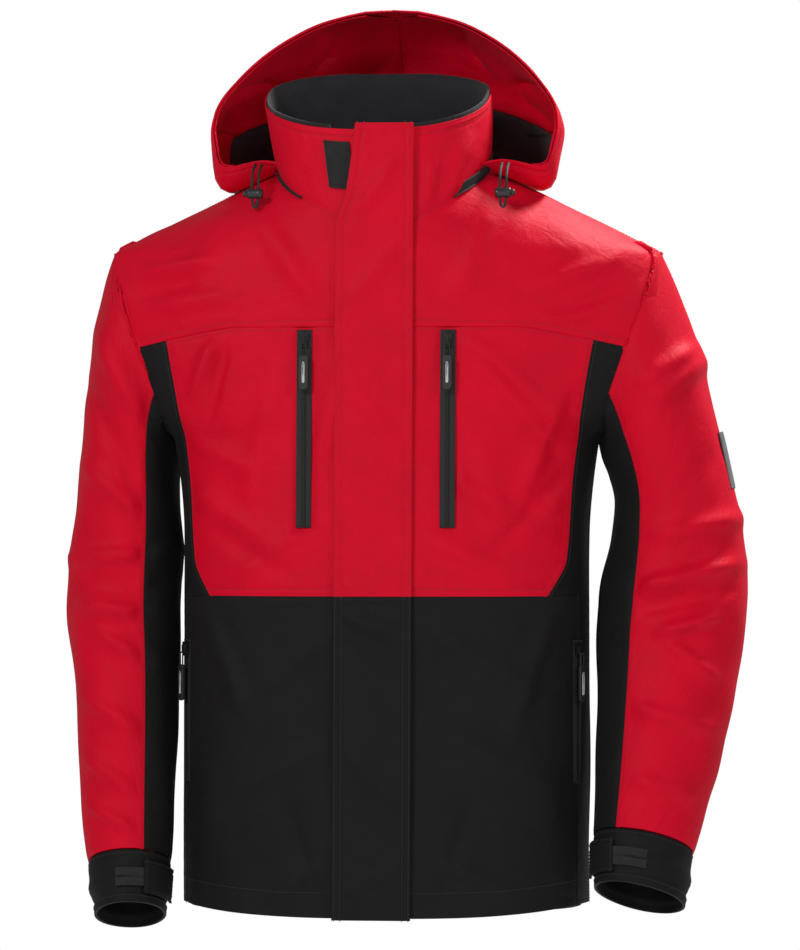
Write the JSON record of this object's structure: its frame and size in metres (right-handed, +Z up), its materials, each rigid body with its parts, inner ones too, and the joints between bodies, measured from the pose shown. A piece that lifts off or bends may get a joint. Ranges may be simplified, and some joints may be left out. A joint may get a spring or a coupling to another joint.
{
  "type": "foul weather jacket",
  "caption": "Hooded foul weather jacket in sewn panels, with storm flap, front and pocket zips, stand-up collar, cord-locked hood and strapped cuffs.",
  "frame": {"origin": "middle of the hanger loop's strap inside the back of the neck", "axes": "+Z up, the front faces -Y, the wearer's left is +X"},
  "size_m": [0.716, 0.3108, 0.9716],
  "materials": {
    "red_fabric": "matt woven shell fabric",
    "black_fabric": "matt woven shell fabric",
    "lining": "short brushed fleece",
    "hook_and_loop": "looped pile",
    "zip_tape": "woven tape",
    "cord": "braided cord",
    "slider": "black coated zinc",
    "pull_rubber": "moulded, with a pale stripe",
    "moulding": "injection moulded"
  },
  "bodies": {
    "jacket": {"chest_zip_right_tape": "zip_tape", "hand_zip_right_tape": "zip_tape", "chest_zip_left_tape": "zip_tape", "hand_zip_left_tape": "zip_tape", "chest_right": "red_fabric", "front_lower_right": "black_fabric", "yoke_right": "red_fabric", "side_panel_right": "black_fabric", "chest_left": "red_fabric", "front_lower_left": "black_fabric", "yoke_left": "red_fabric", "side_panel_left": "black_fabric", "back_yoke": "red_fabric", "back_upper": "red_fabric", "back_lower": "black_fabric", "body_lining": "lining", "collar_outer": "red_fabric", "collar_lining": "lining", "collar_loop_patch": "hook_and_loop", "main_zip_tape_right": "zip_tape", "main_zip_tape_left": "zip_tape", "hood_neck_band": "zip_tape", "sleeve_outer_right": "red_fabric", "sleeve_inner_right": "black_fabric", "cuff_right": "black_fabric", "cuff_loop_strip_right": "hook_and_loop", "sleeve_outer_left": "red_fabric", "sleeve_inner_left": "black_fabric", "cuff_left": "black_fabric", "cuff_loop_strip_left": "hook_and_loop", "sleeve_badge": "lining", "hanger_loop": "zip_tape"},
    "storm_flap": {"storm_flap": "red_fabric", "flap_hook_strip": "hook_and_loop"},
    "hood": {"hood_shell": "red_fabric", "hood_facing": "red_fabric", "hood_lining": "lining", "hood_cord_right": "cord", "hood_cord_left": "cord"},
    "main_zip_slider": {"main_zip_slider": "slider", "main_zip_pull": "pull_rubber"},
    "chest_zip_right_slider": {"chest_zip_right_slider": "slider"},
    "chest_zip_right_pull": {"chest_zip_right_pull": "pull_rubber"},
    "hand_zip_right_slider": {"hand_zip_right_slider": "slider"},
    "hand_zip_right_pull": {"hand_zip_right_pull": "pull_rubber"},
    "cuff_tab_right": {"cuff_tab_right": "black_fabric"},
    "cord_lock_right": {"cord_lock_right": "moulding"},
    "cord_lock_button_right": {"cord_lock_button_right": "moulding"},
    "chest_zip_left_slider": {"chest_zip_left_slider": "slider"},
    "chest_zip_left_pull": {"chest_zip_left_pull": "pull_rubber"},
    "hand_zip_left_slider": {"hand_zip_left_slider": "slider"},
    "hand_zip_left_pull": {"hand_zip_left_pull": "pull_rubber"},
    "cuff_tab_left": {"cuff_tab_left": "black_fabric"},
    "cord_lock_left": {"cord_lock_left": "moulding"},
    "cord_lock_button_left": {"cord_lock_button_left": "moulding"}
  },
  "joints": [
    {"name": "storm_flap_hinge", "type": "hinge", "parent": "jacket", "child": "storm_flap", "pos_m": [0.039, -0.16517, -0.39825], "axis": [0, 0.0446, 0.999], "range_deg": [0, 110]},
    {"name": "hood_tilt", "type": "hinge", "parent": "jacket", "child": "hood", "pos_m": [0, 0.0264, -0.01], "axis": [-1, 0, 0], "range_deg": [0, 40]},
    {"name": "main_zip_slide", "type": "slide", "parent": "jacket", "child": "main_zip_slider", "axis": [0, -0.0446, -0.999], "range_m": [0, 0.76]},
    {"name": "chest_zip_right_slide", "type": "slide", "parent": "jacket", "child": "chest_zip_right_slider", "axis": [0, -0.0419, -0.9991], "range_m": [0, 0.184]},
    {"name": "chest_zip_right_pull_swing", "type": "hinge", "parent": "chest_zip_right_slider", "child": "chest_zip_right_pull", "pos_m": [-0.075, -0.15806, -0.19646], "axis": [-1, 0, 0], "range_deg": [0, 150]},
    {"name": "hand_zip_right_slide", "type": "slide", "parent": "jacket", "child": "hand_zip_right_slider", "axis": [0, -0.0115, -0.9999], "range_m": [0, 0.11]},
    {"name": "hand_zip_right_pull_swing", "type": "hinge", "parent": "hand_zip_right_slider", "child": "hand_zip_right_pull", "pos_m": [-0.21122, -0.10087, -0.51975], "axis": [-0.6, 0.8, -0.0092], "range_deg": [0, 12]},
    {"name": "cuff_tab_right_hinge", "type": "hinge", "parent": "jacket", "child": "cuff_tab_right", "pos_m": [-0.22074, -0.10712, -0.75289], "axis": [0.0188, 0.3387, 0.9407], "range_deg": [0, 60]},
    {"name": "cord_lock_right_slide", "type": "slide", "parent": "hood", "child": "cord_lock_right", "axis": [0, 0, 1], "range_m": [0, 0.006]},
    {"name": "cord_lock_button_right_press", "type": "slide", "parent": "cord_lock_right", "child": "cord_lock_button_right", "axis": [1, 0, 0], "range_m": [0, 0.0022], "stiffness_N_per_m": 900, "springref_m": -0.0005},
    {"name": "chest_zip_left_slide", "type": "slide", "parent": "jacket", "child": "chest_zip_left_slider", "axis": [0, -0.0419, -0.9991], "range_m": [0, 0.184]},
    {"name": "chest_zip_left_pull_swing", "type": "hinge", "parent": "chest_zip_left_slider", "child": "chest_zip_left_pull", "pos_m": [0.075, -0.15806, -0.19646], "axis": [-1, 0, 0], "range_deg": [0, 150]},
    {"name": "hand_zip_left_slide", "type": "slide", "parent": "jacket", "child": "hand_zip_left_slider", "axis": [0, -0.0115, -0.9999], "range_m": [0, 0.11]},
    {"name": "hand_zip_left_pull_swing", "type": "hinge", "parent": "hand_zip_left_slider", "child": "hand_zip_left_pull", "pos_m": [0.21122, -0.10087, -0.51975], "axis": [-0.6, -0.8, 0.0092], "range_deg": [0, 12]},
    {"name": "cuff_tab_left_hinge", "type": "hinge", "parent": "jacket", "child": "cuff_tab_left", "pos_m": [0.22077, -0.10512, -0.72469], "axis": [0.0189, -0.3388, -0.9407], "range_deg": [0, 60]},
    {"name": "cord_lock_left_slide", "type": "slide", "parent": "hood", "child": "cord_lock_left", "axis": [0, 0, 1], "range_m": [0, 0.006]},
    {"name": "cord_lock_button_left_press", "type": "slide", "parent": "cord_lock_left", "child": "cord_lock_button_left", "axis": [-1, 0, 0], "range_m": [0, 0.0022], "stiffness_N_per_m": 900, "springref_m": -0.0005}
  ]
}
